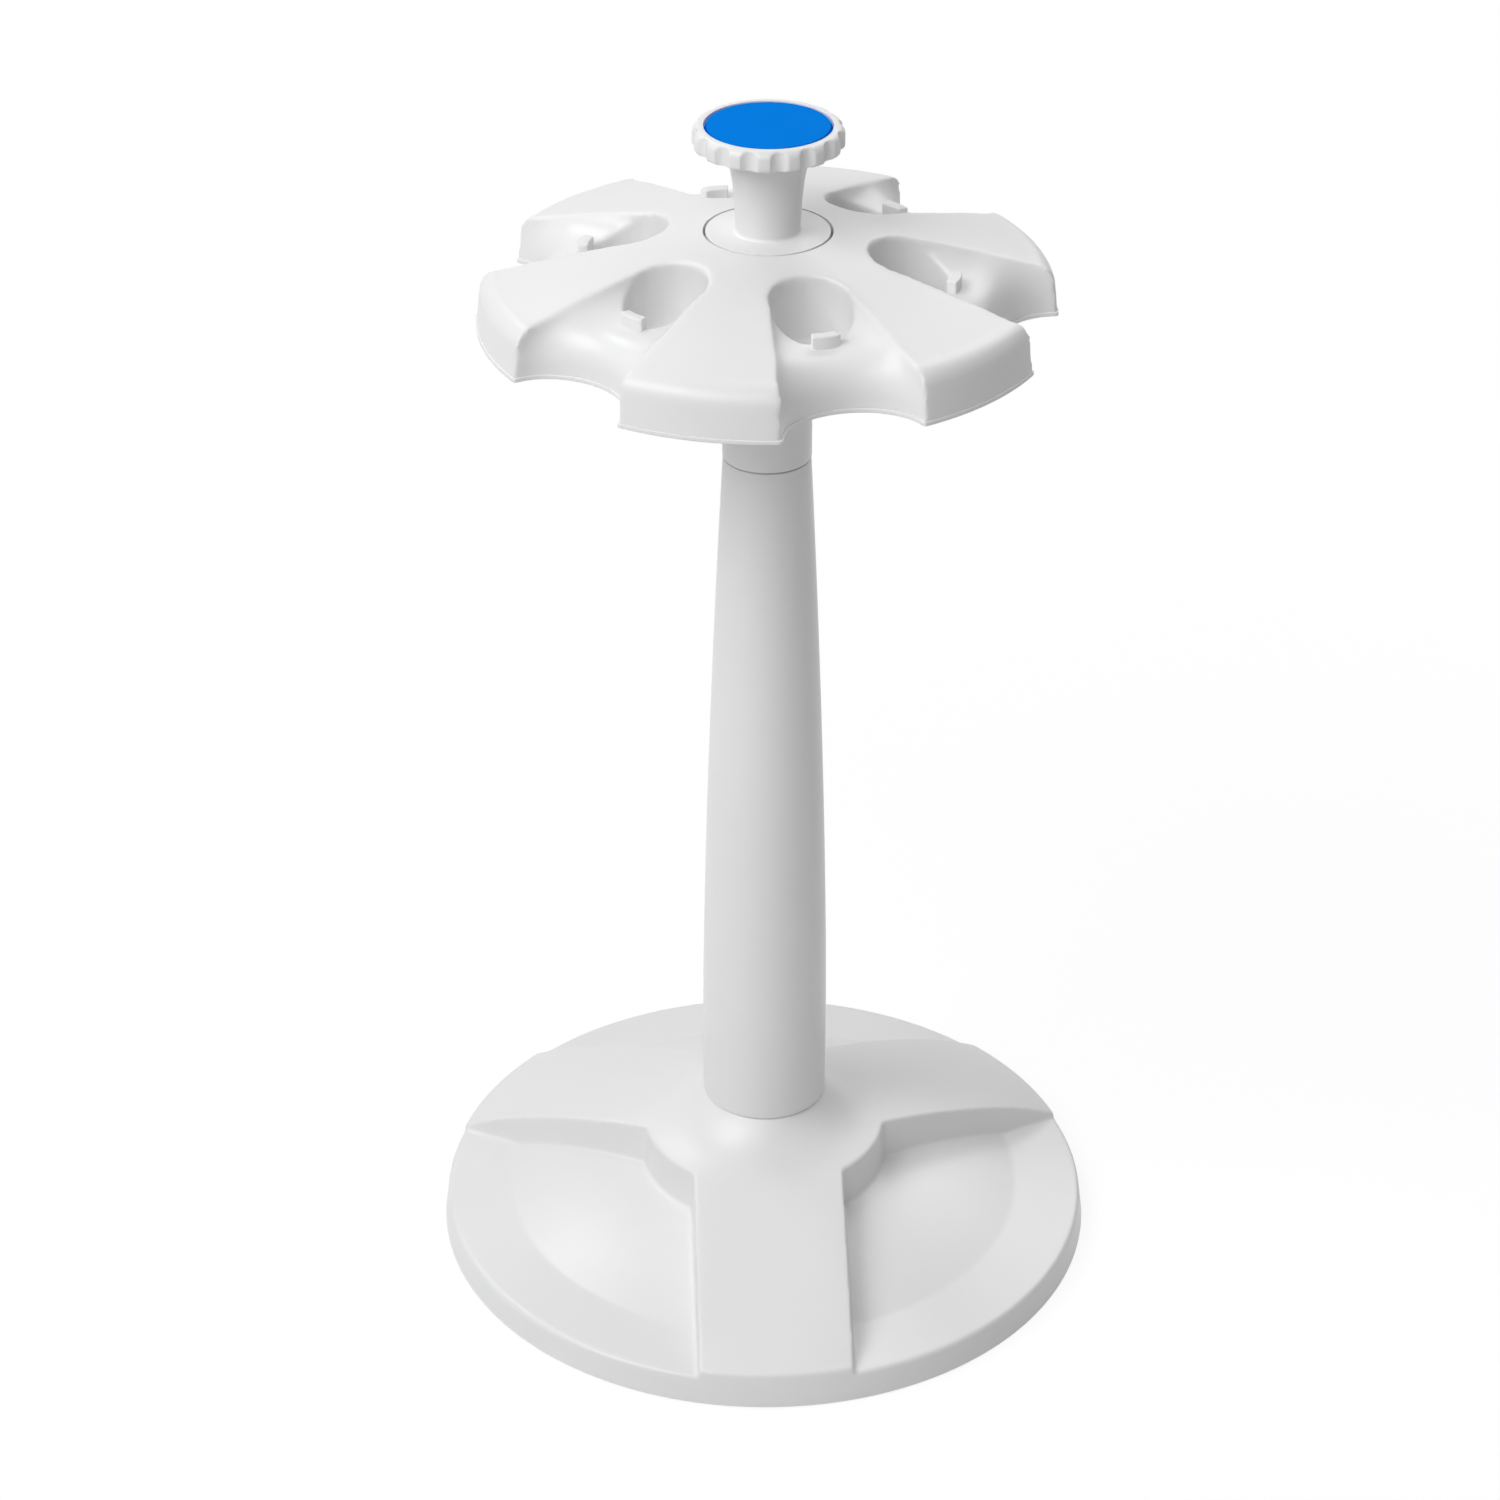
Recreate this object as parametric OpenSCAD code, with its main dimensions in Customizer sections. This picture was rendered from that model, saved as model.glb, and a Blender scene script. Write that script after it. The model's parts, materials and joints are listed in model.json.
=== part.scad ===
// Pipette carousel stand: a weighted disc base, a tapered column, a six-place
// turning head and a fluted lifting knob. Millimetres, +Z up, origin on the
// bench under the column's axis, front towards -Y.

/* [Base] */
// Radius of the base at the bench
base_r = 94.3; // [88:0.1:105]
// Height of the rubber feet below the base cover
foot_h = 0.5; // [0.3:0.1:2]
// Height of the arms' ends above the bench
arm_rim_h = 11; // [9.4:0.1:12]
// Height of the rim between the arms above the bench
band_rim_h = 9; // [7.5:0.1:9.2]
// How far the rim wall leans in from bottom to top
rim_draft = 1.2; // [0.5:0.1:3]
// Radius of the rim's rounded top edge
rim_round = 1.3; // [0.8:0.1:3]
// Wall thickness of the base cover
base_wall = 2.6; // [2:0.1:3]
// Turn of the three-armed relief from straight front
base_turn = 2.4; // [-30:0.2:30]
// Half width of a raised arm's top where it leaves the middle
arm_half_in = 21.4; // [18:0.1:25]
// Half width of a raised arm's top at the rim
arm_half_out = 21.4; // [18:0.1:25]
// Slope of the walls beside the arms and round the shoulder, in degrees from upright
arm_draft = 1.5; // [0.5:0.5:15]
// Bulge of the arms' tops above a straight fall, at its most
arm_crown = 2.6; // [0:0.1:4]
// Radius of the round shoulder between the arms
shoulder_r = 35; // [33:0.5:42]
// Height of the arms' tops where the shoulder ends
shoulder_h = 31.6; // [29:0.1:36]
// Height of the recess floors at the shoulder
recess_h = 18.6; // [17:0.1:25]
// Radius of the crease where the domed floor meets the flat band
crease_r = 74.4; // [68:0.1:80]
// Height of that crease
crease_h = 10; // [9.3:0.1:12.5]
// Fall of the domed floor halfway out, along its inner slope
dome_fall = 1.3; // [0.5:0.1:4]
// Height of the seat that the column stands on
seat_h = 42.7; // [40:0.1:50]
// How far the seat's edge stands in from the column's foot
seat_inset = 0.6; // [0:0.1:1.5]
// How late the shoulder sweeps up to the seat, as a share of the way out
flare_hold = 0.34; // [0.15:0.01:0.6]
// Thickness of the bottom plate
base_plate_t = 2.6; // [2:0.1:3.5]
// Distance of a rubber foot's middle in from the base's edge
foot_in = 11.5; // [10.5:0.1:18]
// Radius of a rubber foot
foot_r = 6; // [4:0.5:7]
// Depth to which a foot is let into the bottom plate
foot_inset = 0.8; // [0.4:0.1:1.2]
// Number of rubber feet
foot_count = 6; // [3:1:9]
// Radius at which the bottom plate's screws stand
base_screw_ring_r = 48; // [44:0.5:54]
// Radius of a screw boss inside the base cover
base_boss_r = 3.8; // [3.4:0.1:5]

/* [Ballast] */
// Inner radius of the cast ballast ring
ballast_in_r = 23; // [19:0.5:30]
// Outer radius of its thin flange
ballast_out_r = 71; // [62:0.5:73]
// Radius of its thick part
ballast_step_r = 57; // [54:0.5:60]
// Thickness of the flange
ballast_flange_t = 3.6; // [2:0.1:4]
// Thickness of the thick part
ballast_t = 7; // [5:0.5:8]

/* [Column] */
// Length of the column from its seat to the seam under the collar
column_len = 204.3; // [150:0.1:260]
// Radius of the column at its widest, near the foot
column_foot_r = 17.7; // [15:0.1:19]
// Radius of the column at the top
column_top_r = 11.8; // [11.2:0.1:12.6]
// Length of the straight stretch above the foot
column_straight = 26; // [18:0.5:60]
// How late the column's taper bends in; 1 is a plain cone
column_bend = 1.55; // [1:0.05:2.2]
// Wall thickness of the column
column_wall = 2.8; // [2:0.1:3.4]
// Radius of the rounded bottom edge of the column
column_round = 0.6; // [0.3:0.1:3]
// Radius of the spigot that sits in the base
spigot_r = 9; // [7.5:0.1:10]
// Length of that spigot below the seat
spigot_len = 27; // [20:0.5:30]
// Height of the foot plug inside the column
foot_plug_h = 18; // [10:0.5:24]
// Length of the plug in the column's top end
top_plug_h = 22; // [14:0.5:30]

/* [Fasteners] */
// Shank radius of the bolt that holds the column down
column_bolt_r = 4; // [3:0.5:5]
// Length of that bolt's shank
column_bolt_len = 26; // [20:0.5:30]
// Thickness of that bolt's hexagon head
column_bolt_head_h = 5.3; // [4:0.1:6]
// Outer radius of the washer under that bolt's head
column_washer_r = 9; // [7.5:0.5:11]
// Thickness of that washer
column_washer_t = 1.6; // [1:0.1:2]
// Room round that washer in its well
bolt_well_gap = 2; // [1:0.1:3]
// Wall thickness of the brass threaded inserts
insert_wall = 1.7; // [1.2:0.1:2]
// Length of the brass insert in the column's foot
foot_insert_len = 14; // [10:0.5:18]
// Shank radius of the small screws
small_screw_r = 1.5; // [1.2:0.1:1.8]
// Head radius of the small screws
small_head_r = 2.8; // [2.4:0.1:3.1]
// Head height of the small screws
small_head_h = 1.4; // [1:0.1:1.6]
// Shank length of the base plate's screws
base_screw_len = 10; // [7:0.5:14]
// Shank length of the head plate's screws
head_screw_len = 7; // [5:0.5:8]

/* [Spindle] */
// Radius of the spindle's ground journal
journal_r = 6.5; // [5.5:0.1:7]
// Radius of the stud that screws into the column's plug
root_stud_r = 5; // [4:0.1:5.2]
// Length of that stud
root_stud_len = 18; // [10:0.5:20]
// Radius of the stud that the handle screws onto
handle_stud_r = 4; // [3:0.1:4.5]
// Length of that stud above the journal's shoulder
handle_stud_len = 14; // [12:0.5:15]
// Outer radius of the thrust washer in the seam
thrust_washer_r = 10.3; // [9:0.1:10.4]
// Thickness of that washer
thrust_washer_t = 1.4; // [1:0.1:2.5]
// Wall thickness of the two plastic bushes
bush_wall = 2.5; // [2:0.1:2.6]
// Length of the lower bush, in the collar
lower_bush_len = 13; // [8:0.5:20]
// Length of the upper bush, in the head
upper_bush_len = 12; // [8:0.5:13]

/* [Head] */
// Gap of the seam between the column and the collar
seam_gap = 0.4; // [0.2:0.05:0.8]
// Outer radius of the collar under the head
collar_r = 11.9; // [11.3:0.1:12.4]
// Length of the collar below the head
collar_len = 39.6; // [30:0.2:55]
// Radius of the flange on top of the collar
collar_flange_r = 19; // [16:0.5:22]
// Thickness of that flange
collar_flange_t = 2.4; // [1.6:0.1:3]
// Radius of the head
head_r = 75.4; // [72:0.1:84]
// Height of the head at its rim
head_rim_h = 14; // [13:0.5:20]
// Rise of the domed top from the rim to the hub
head_rise = 10.3; // [7:0.1:13]
// Radius of the rounded top edge of the rim
head_round = 5.6; // [1.5:0.1:7]
// How far the rim's wall leans in from bottom to top
head_draft = 0.8; // [0:0.1:2]
// Thickness of the plate that closes the head from below
head_plate_t = 1.1; // [0.8:0.1:1.6]
// How far that plate's edge stands out past the shell's, all round
head_plate_lip = 0.3; // [0.1:0.1:0.6]
// Direction of the first hook place, seen from above
place_turn = -73.2; // [-90:0.2:90]
// Number of hook places
place_count = 6; // [4:1:6]
// Wall left beside the cored-out arms
head_wall = 3; // [2:0.1:4]
// Wall left at the rim of the cored-out arms
core_rim_wall = 3.4; // [2.6:0.1:6]
// Distance from the axis at which the hollows of the arms start
core_in_r = 42.5; // [41:0.5:48]
// Thickness left above the cored-out arms
core_roof = 4; // [3:0.1:6]
// Radius of a screw boss inside an arm
head_boss_r = 3.4; // [3:0.1:4]
// Radius at which the head plate's screws stand
head_screw_ring_r = 60; // [54:0.5:64]

/* [Hook places] */
// Radius of the round pocket by the hub
pocket_r = 10.5; // [9:0.1:12]
// Distance of the pocket's centre from the axis
pocket_ring_r = 37.3; // [35:0.1:40]
// Depth of the pocket below the lip
pocket_deep = 9; // [5:0.5:9.5]
// Distance of the pocket's lip from the axis
lip_ring_r = 47.5; // [46:0.1:50]
// Height of that lip above the head's underside
lip_h = 13.4; // [11:0.1:15]
// Half width of the trough at the lip
trough_half_in = 13.2; // [11:0.1:14.5]
// Half width of the trough where its floor starts to roll over
trough_half_mid = 15.3; // [14:0.1:17]
// Half width of the trough at the rim
trough_half_out = 18.6; // [16:0.1:20]
// Fall of the trough's floor beyond the lip, in degrees
trough_fall = 6; // [2:0.5:12]
// Radius at which the floor rolls over to the skirt
roll_r = 8; // [5:0.1:10]
// Distance of the skirt's hollow from the axis
skirt_ring_r = 60.4; // [58:0.1:65]
// Distance of the hook lug's middle from the axis
lug_ring_r = 49.2; // [48:0.1:51]
// Width of a hook lug
lug_w = 7.6; // [6:0.1:12]
// Thickness of a hook lug
lug_t = 3; // [2:0.1:4]
// Height of a hook lug above the lip
lug_h = 3.1; // [1.5:0.1:5]
// Depth to which a hook lug is rooted below the lip
lug_root = 4; // [2:0.5:6]

/* [Handle] */
// Radius of the hub disc at the handle's foot
disc_r = 16.3; // [14:0.1:18]
// Thickness of the hub disc
disc_t = 2.9; // [2.4:0.1:4]
// Gap round the hub disc in the head
disc_gap = 0.45; // [0.3:0.05:0.8]
// Radius of the handle's stem
stem_r = 8.4; // [7.5:0.1:10]
// Height from the hub disc's top to the knob's underside
stem_len = 23.3; // [20:0.1:40]
// Radius of the stem's flare under the knob
flare_r = 12; // [9.5:0.1:14]
// Height over which the stem flares
flare_h = 22; // [12:0.5:22.5]
// How late the flare opens; a small share opens it late
flare_late = 0.12; // [0.05:0.01:0.4]
// Radius of the knob over its flutes' ridges
knob_r = 19.5; // [18.4:0.1:24]
// Height of the knob
knob_h = 5.4; // [5:0.1:9]
// Radius of the knob's rounded shoulder
knob_round = 2.2; // [1:0.1:2.6]
// Chamfer of the knob's lower edge
knob_chamfer = 0.6; // [0.2:0.1:1]
// Number of finger flutes round the knob
flute_count = 16; // [8:1:24]
// Radius of a finger flute
flute_r = 2.5; // [1.5:0.1:3]
// Depth of a finger flute
flute_deep = 1.3; // [0.5:0.1:2]
// Turn of the flutes from the +X axis
flute_turn = -82; // [-90:0.5:90]
// Radius of the coloured cap
cap_r = 16.4; // [14:0.1:17.5]
// Thickness of the cap's disc
cap_t = 1.2; // [0.8:0.1:2]
// Shank radius of the screw under the cap
knob_screw_r = 2; // [1.5:0.1:2.5]
// Shank length of that screw
knob_screw_len = 11; // [8:0.5:12]
// Head radius of that screw
knob_screw_head_r = 4; // [3.2:0.1:4.5]
// Head height of that screw
knob_screw_head_h = 1.5; // [1:0.1:2]
// How far the washer under that screw stands out past the head
knob_washer_edge = 0.6; // [0.2:0.1:1.5]
// Thickness of that washer
knob_washer_t = 0.8; // [0.5:0.1:1]
// Length of the brass insert in the handle
handle_insert_len = 13; // [8:0.5:14]
// Outer radius of the washer that lifts with the handle
lift_washer_r = 8.5; // [7:0.1:8.6]
// Thickness of that washer
lift_washer_t = 1.2; // [0.8:0.1:2]

/* [Fits] */
// Radial clearance of a turning fit
run_fit = 0.06; // [0.02:0.01:0.1]
// Clearance between pieces that are put together and stay
seat_fit = 0.1; // [0.05:0.01:0.2]
// Clearance between faces that pass each other
pass_gap = 0.3; // [0.2:0.05:0.5]
// Axial play of a washer or bush
end_play = 0.1; // [0.05:0.01:0.2]

/* [Hidden] */

// Smoothness of plain round pieces
$fn = 96;
// Length by which a cutter passes the face it cuts
over = 1;
// Points along a curved profile
curve_steps = 10;
// Stations round the roll of a trough, and points across it
roll_steps = 8;
across_steps = 16;

// Heights of the stack, from the bench up
z_cover = foot_h;
z_base_plate_top = z_cover + base_plate_t;
z_bolt_seat = z_base_plate_top + column_bolt_head_h + column_washer_t + end_play;
z_column_top = seat_h + column_len;
z_collar = z_column_top + seam_gap;
z_head = z_collar + collar_len;
z_shell = z_head + head_plate_t;
z_rim_top = z_head + head_rim_h;
z_hub_top = z_rim_top + head_rise;
z_disc = z_hub_top - disc_t;
z_recess = z_disc - pass_gap;
z_lift_washer = z_disc - end_play - lift_washer_t;
z_shoulder = z_lift_washer - end_play;
z_upper_bush = z_shoulder - pass_gap - upper_bush_len;
z_knob = z_hub_top + stem_len;
z_top = z_knob + knob_h;
z_lip = z_head + lip_h;

// Directions of the base's arms and feet, of the hook places and of the head's arms
arm_angles = [for (i = [0:2]) base_turn - 90 + 120 * i];
foot_angles = [for (i = [0:foot_count - 1]) base_turn - 90 + 360 / foot_count * i];
place_angles = [for (i = [0:place_count - 1]) place_turn + 360 / place_count * i];
head_arm_angles = [for (a = place_angles) a + 180 / place_count];

// Points of a curve from a to c that leaves and arrives towards b
function curve(a, b, c, steps = curve_steps) = [
    for (i = [0:steps])
        let (t = i / steps)
        a * (1 - t) * (1 - t) + b * 2 * t * (1 - t) + c * t * t
];

// Points of an arc of radius r about c, from angle a0 to a1
function arc(c, r, a0, a1, steps = curve_steps) = [
    for (i = [0:steps])
        let (a = a0 + (a1 - a0) * i / steps)
        c + r * [cos(a), sin(a)]
];

// Every point of a list moved by a step
function moved(points, by) = [for (p = points) p + by];

// A list in the opposite order
function reversed(list) = [for (i = [len(list) - 1:-1:0]) list[i]];

module ring(r_out, r_in, h) {
    difference() {
        cylinder(r = r_out, h = h);
        translate([0, 0, -over]) cylinder(r = r_in, h = h + 2 * over);
    }
}

module around(angles, r = 0) {
    for (a = angles) rotate(a) translate([r, 0, 0]) children();
}

// A screw with its head down and its shank up, from the underside of its head
module screw_up(shank_r, shank_len, head_r, head_h) {
    cylinder(r = shank_r, h = shank_len);
    translate([0, 0, -head_h]) cylinder(r = head_r, h = head_h);
}

// ---- Base ----

foot_ring_r = base_r - foot_in;
rim_lean = atan(rim_draft / (arm_rim_h - rim_round - z_cover));
rim_top_r = base_r - rim_draft - rim_round / cos(rim_lean);
arm_run = rim_top_r - shoulder_r;
arm_slope = (shoulder_h - arm_rim_h) / arm_run;
seat_edge_r = column_foot_r - seat_inset;
flare_mid_r = seat_edge_r + (shoulder_r - seat_edge_r) * flare_hold;
socket_r = spigot_r + seat_fit;
bolt_well_r = column_washer_r + bolt_well_gap;
core_r = bolt_well_r + base_wall;

// Top line of the arms, from the rim in to the column's seat: a crowned fall
// and a sweep up to the seat, which meet without a break in their slope
crown_r = shoulder_r + 2 / 3 * arm_run;
crown_h = shoulder_h - 2 / 3 * arm_run * arm_slope + 2 * arm_crown;
crown_slope = (shoulder_h - crown_h) / (crown_r - shoulder_r);
sweep_line = curve(
    [shoulder_r, shoulder_h],
    [flare_mid_r, shoulder_h + crown_slope * (shoulder_r - flare_mid_r)],
    [seat_edge_r, seat_h]
);
arm_line = concat(
    curve([rim_top_r, arm_rim_h], [crown_r, crown_h], [shoulder_r, shoulder_h]),
    [for (i = [1:curve_steps]) sweep_line[i]]
);

// Top line of a recess floor, from the rim in to the shoulder
dome_mid_r = (shoulder_r + crease_r) / 2;
recess_line = concat(
    [[rim_top_r, band_rim_h]],
    curve([crease_r, crease_h], [dome_mid_r, recess_h - dome_fall], [shoulder_r, recess_h])
);

// Half width of an arm at a distance from the axis and a height
function arm_half(distance, z) =
    let (out = (distance - shoulder_r) / arm_run)
    arm_half_in + (arm_half_out - arm_half_in) * out
    + (shoulder_h - arm_slope * arm_run * out - z) * tan(arm_draft);

// The three arms and the round middle as upright blocks with leaning walls,
// all walls moved in by inset
module arm_blocks(inset, r_end) {
    top = seat_h + over;
    around(arm_angles)
        loft([for (u = [0, r_end])
            let (low = arm_half(u, 0) - inset, high = arm_half(u, top) - inset)
            [[u, -low, 0], [u, low, 0], [u, high, top], [u, -high, top]]]);
    cylinder(
        r1 = shoulder_r - inset + shoulder_h * tan(arm_draft),
        r2 = shoulder_r - inset + (shoulder_h - top) * tan(arm_draft),
        h = top
    );
}

// Radius of the leaning rim wall at height z
function rim_wall_r(z) = base_r - (z - z_cover) * tan(rim_lean);

// The rounded top edge of a rim whose top is at height h
function rim_edge(h) =
    arc([rim_wall_r(h - rim_round) - rim_round / cos(rim_lean), h - rim_round], rim_round, rim_lean, 90);

module base_body() {
    rotate_extrude()
        polygon(concat([[0, z_cover], [base_r, z_cover]], rim_edge(arm_rim_h), arm_line, [[0, seat_h]]));
}

module recess_space() {
    difference() {
        rotate_extrude()
            polygon(concat(
                rim_edge(band_rim_h),
                recess_line,
                [[shoulder_r, seat_h], [base_r, seat_h], [base_r, band_rim_h - rim_round]]
            ));
        arm_blocks(0, base_r + over);
    }
}

// The hollow under the cover: below the recess floors all round, and up into
// the arms and the middle
module cover_hollow() {
    drop = [0, -base_wall];
    hollow_r = base_r - rim_draft - base_wall;
    low_line = concat([[hollow_r, band_rim_h - base_wall]], moved(recess_line, drop));
    high_line = moved(arm_line, drop);
    difference() {
        union() {
            rotate_extrude()
                polygon(concat([[0, z_cover - over], [hollow_r, z_cover - over]], low_line, [[0, recess_h - base_wall]]));
            intersection() {
                rotate_extrude()
                    polygon(concat([[0, z_cover], [rim_top_r, z_cover]], high_line, [[0, seat_h - base_wall]]));
                arm_blocks(base_wall, rim_top_r);
            }
        }
        cylinder(r = core_r, h = seat_h);
        around(arm_angles, base_screw_ring_r) cylinder(r = base_boss_r, h = seat_h);
    }
}

module base_cover() {
    color("whitesmoke")
        difference() {
            base_body();
            recess_space();
            cover_hollow();
            translate([0, 0, z_cover - over]) cylinder(r = base_r - rim_draft - base_wall, h = base_plate_t + over);
            translate([0, 0, seat_h - spigot_len - seat_fit]) cylinder(r = socket_r, h = spigot_len + over);
            translate([0, 0, z_cover]) cylinder(r = bolt_well_r, h = z_bolt_seat - z_cover);
            cylinder(r = column_bolt_r + seat_fit, h = seat_h);
            around(arm_angles, base_screw_ring_r)
                cylinder(r = small_screw_r, h = z_base_plate_top + base_screw_len);
        }
}

module base_plate() {
    plate_r = base_r - rim_draft - base_wall - seat_fit;
    color("gainsboro")
        difference() {
            translate([0, 0, z_cover]) ring(plate_r, bolt_well_r, base_plate_t);
            around(foot_angles, foot_ring_r)
                translate([0, 0, z_cover - over]) cylinder(r = foot_r + seat_fit, h = foot_inset + over);
            around(arm_angles, base_screw_ring_r) {
                translate([0, 0, z_cover - over]) cylinder(r = small_head_r + seat_fit, h = small_head_h + over);
                cylinder(r = small_screw_r + seat_fit, h = z_base_plate_top + over);
            }
        }
}

module rubber_feet() {
    color("dimgray")
        around(foot_angles, foot_ring_r) cylinder(r = foot_r, h = foot_h + foot_inset);
}

module base_plate_screws() {
    color("silver")
        around(arm_angles, base_screw_ring_r)
            translate([0, 0, z_cover + small_head_h])
                screw_up(small_screw_r, base_plate_t - small_head_h + base_screw_len, small_head_r, small_head_h);
}

module ballast_ring() {
    color("slategray")
        difference() {
            translate([0, 0, z_base_plate_top]) {
                ring(ballast_out_r, ballast_in_r, ballast_flange_t);
                ring(ballast_step_r, ballast_in_r, ballast_t);
            }
            around(arm_angles, base_screw_ring_r) cylinder(r = base_boss_r + pass_gap, h = seat_h);
        }
}

// ---- Column ----

// Outer radius of the column at height z
function column_radius(z) =
    let (t = max(0, (z - seat_h - column_straight) / (column_len - column_straight)))
    column_foot_r - (column_foot_r - column_top_r) * pow(t, column_bend);

module column() {
    heights = [for (i = [0:curve_steps * 2])
        seat_h + column_straight + (column_len - column_straight) * i / (curve_steps * 2)];
    outer = [for (z = heights) [column_radius(z), z]];
    inner = [for (z = reversed(heights)) [column_radius(z) - column_wall, z]];
    foot = arc([column_foot_r - column_round, seat_h + column_round], column_round, -90, 0);
    color("whitesmoke")
        rotate_extrude()
            polygon(concat(foot, outer, inner, [[column_foot_r - column_wall, seat_h]]));
}

module column_foot_plug() {
    color("gainsboro")
        difference() {
            union() {
                translate([0, 0, seat_h]) cylinder(r = column_foot_r - column_wall - seat_fit, h = foot_plug_h);
                translate([0, 0, seat_h - spigot_len]) cylinder(r = spigot_r, h = spigot_len);
            }
            translate([0, 0, seat_h - spigot_len - over])
                cylinder(r = column_bolt_r + insert_wall, h = foot_insert_len + over);
            translate([0, 0, seat_h - spigot_len])
                cylinder(r = column_bolt_r + seat_fit, h = spigot_len + over);
        }
}

module foot_insert() {
    color("goldenrod")
        translate([0, 0, seat_h - spigot_len])
            ring(column_bolt_r + insert_wall, column_bolt_r, foot_insert_len);
}

module column_bolt() {
    color("silver")
        translate([0, 0, z_bolt_seat - column_washer_t]) {
            cylinder(r = column_bolt_r, h = column_bolt_len);
            translate([0, 0, -column_bolt_head_h])
                cylinder(r = column_bolt_r * 1.88, h = column_bolt_head_h, $fn = 6);
        }
}

module column_bolt_washer() {
    color("silver")
        translate([0, 0, z_bolt_seat - column_washer_t])
            ring(column_washer_r, column_bolt_r + seat_fit, column_washer_t);
}

module column_top_plug() {
    color("gainsboro")
        translate([0, 0, z_column_top - top_plug_h])
            difference() {
                cylinder(r = column_top_r - column_wall, h = top_plug_h);
                translate([0, 0, top_plug_h - root_stud_len]) cylinder(r = root_stud_r, h = root_stud_len + over);
            }
}

module spindle() {
    color("silver") {
        translate([0, 0, z_column_top - root_stud_len]) cylinder(r = root_stud_r, h = root_stud_len);
        translate([0, 0, z_column_top]) cylinder(r = journal_r, h = z_shoulder - z_column_top);
        translate([0, 0, z_shoulder]) cylinder(r = handle_stud_r, h = handle_stud_len);
    }
}

// ---- Turning head ----

bush_r = journal_r + run_fit + bush_wall;
z_lower_bush = z_column_top + thrust_washer_t + 2 * end_play;

module lower_thrust_washer() {
    color("white")
        translate([0, 0, z_column_top]) ring(thrust_washer_r, journal_r + run_fit, thrust_washer_t);
}

module lower_bush() {
    color("ivory")
        translate([0, 0, z_lower_bush]) ring(bush_r, journal_r + run_fit, lower_bush_len);
}

module upper_bush() {
    color("ivory")
        translate([0, 0, z_upper_bush]) ring(bush_r, journal_r + run_fit, upper_bush_len);
}

module collar() {
    color("whitesmoke")
        difference() {
            union() {
                translate([0, 0, z_collar]) cylinder(r = collar_r, h = collar_len + head_plate_t);
                translate([0, 0, z_shell]) cylinder(r = collar_flange_r, h = collar_flange_t);
            }
            translate([0, 0, z_collar - over]) cylinder(r = journal_r + pass_gap, h = collar_len + 3 * over + head_plate_t + collar_flange_t);
            translate([0, 0, z_collar - over]) cylinder(r = bush_r, h = z_lower_bush + lower_bush_len - z_collar + over);
            translate([0, 0, z_collar - over])
                cylinder(r = thrust_washer_r + pass_gap, h = z_lower_bush - z_collar + over);
        }
}

// Outline of the domed head, from its axis to its underside
module head_body() {
    lean = atan(head_draft / (z_rim_top - head_round - z_shell));
    dome_r = head_r - head_draft - head_round / cos(lean);
    dome = curve(
        [dome_r, z_rim_top],
        [head_r / 2, z_rim_top + head_rise * 0.8],
        [disc_r, z_hub_top]
    );
    rotate_extrude()
        polygon(concat(
            [[0, z_shell], [head_r, z_shell]],
            arc([dome_r, z_rim_top - head_round], head_round, lean, 80),
            dome,
            [[0, z_hub_top]]
        ));
}

// Length by which the cutters of the hook places stand out of the head
mouth = 2 * head_rim_h;

// One section of the trough cutter: a half ellipse below a straight-sided
// mouth. It stands at the floor point foot, and up is its direction to the mouth.
function trough_section(foot, up_angle, half_w, depth) =
    let (up = [cos(up_angle), 0, sin(up_angle)], c = foot + depth * up)
    concat(
        [c - half_w * [0, 1, 0] + mouth * up],
        [for (i = [0:across_steps])
            let (a = 180 * i / across_steps)
            c - half_w * cos(a) * [0, 1, 0] - depth * sin(a) * up],
        [c + half_w * [0, 1, 0] + mouth * up]
    );

// A solid through a row of sections that all have as many points
module loft(sections) {
    n = len(sections[0]);
    last = (len(sections) - 1) * n;
    sides = [
        for (i = [0:len(sections) - 2])
            for (j = [0:n - 1])
                let (a = i * n + j, b = i * n + (j + 1) % n)
                each [[a, b + n, b], [a, a + n, b + n]]
    ];
    ends = [[for (j = [0:n - 1]) j], [for (j = [n - 1:-1:0]) last + j]];
    polyhedron(points = [for (s = sections) each s], faces = concat(sides, ends));
}

// The space of one hook place along +X: a trough that widens from the lip,
// rolls over outwards and runs down through the skirt
module trough() {
    roll_c = [skirt_ring_r - roll_r, 0, z_lip - (skirt_ring_r - roll_r - lip_ring_r) * tan(trough_fall) - roll_r];
    depth_in = z_hub_top - head_rise / 2 - z_lip;
    depth_out = head_r - skirt_ring_r;
    roll = [for (i = [0:roll_steps])
        let (t = i / roll_steps, a = 90 - trough_fall - (90 - trough_fall) * t)
        trough_section(
            roll_c + roll_r * [cos(a), 0, sin(a)], a,
            trough_half_mid + (trough_half_out - trough_half_mid) * t,
            depth_in + (depth_out - depth_in) * t * t
        )];
    pocket_end = trough_section(
        [pocket_ring_r, 0, z_lip + (lip_ring_r - pocket_ring_r) * tan(trough_fall)],
        90, pocket_r, depth_in);
    lip = trough_section([lip_ring_r, 0, z_lip], 90 - trough_fall / 2, trough_half_in, depth_in);
    skirt = trough_section([skirt_ring_r, 0, z_head - over], 0, trough_half_out, depth_out);
    loft(concat([pocket_end, lip], roll, [skirt]));
}

module pocket() {
    translate([pocket_ring_r, 0, z_lip - pocket_deep]) cylinder(r = pocket_r, h = pocket_deep + mouth);
}

module hook_places() {
    around(place_angles) {
        trough();
        pocket();
    }
}

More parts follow.
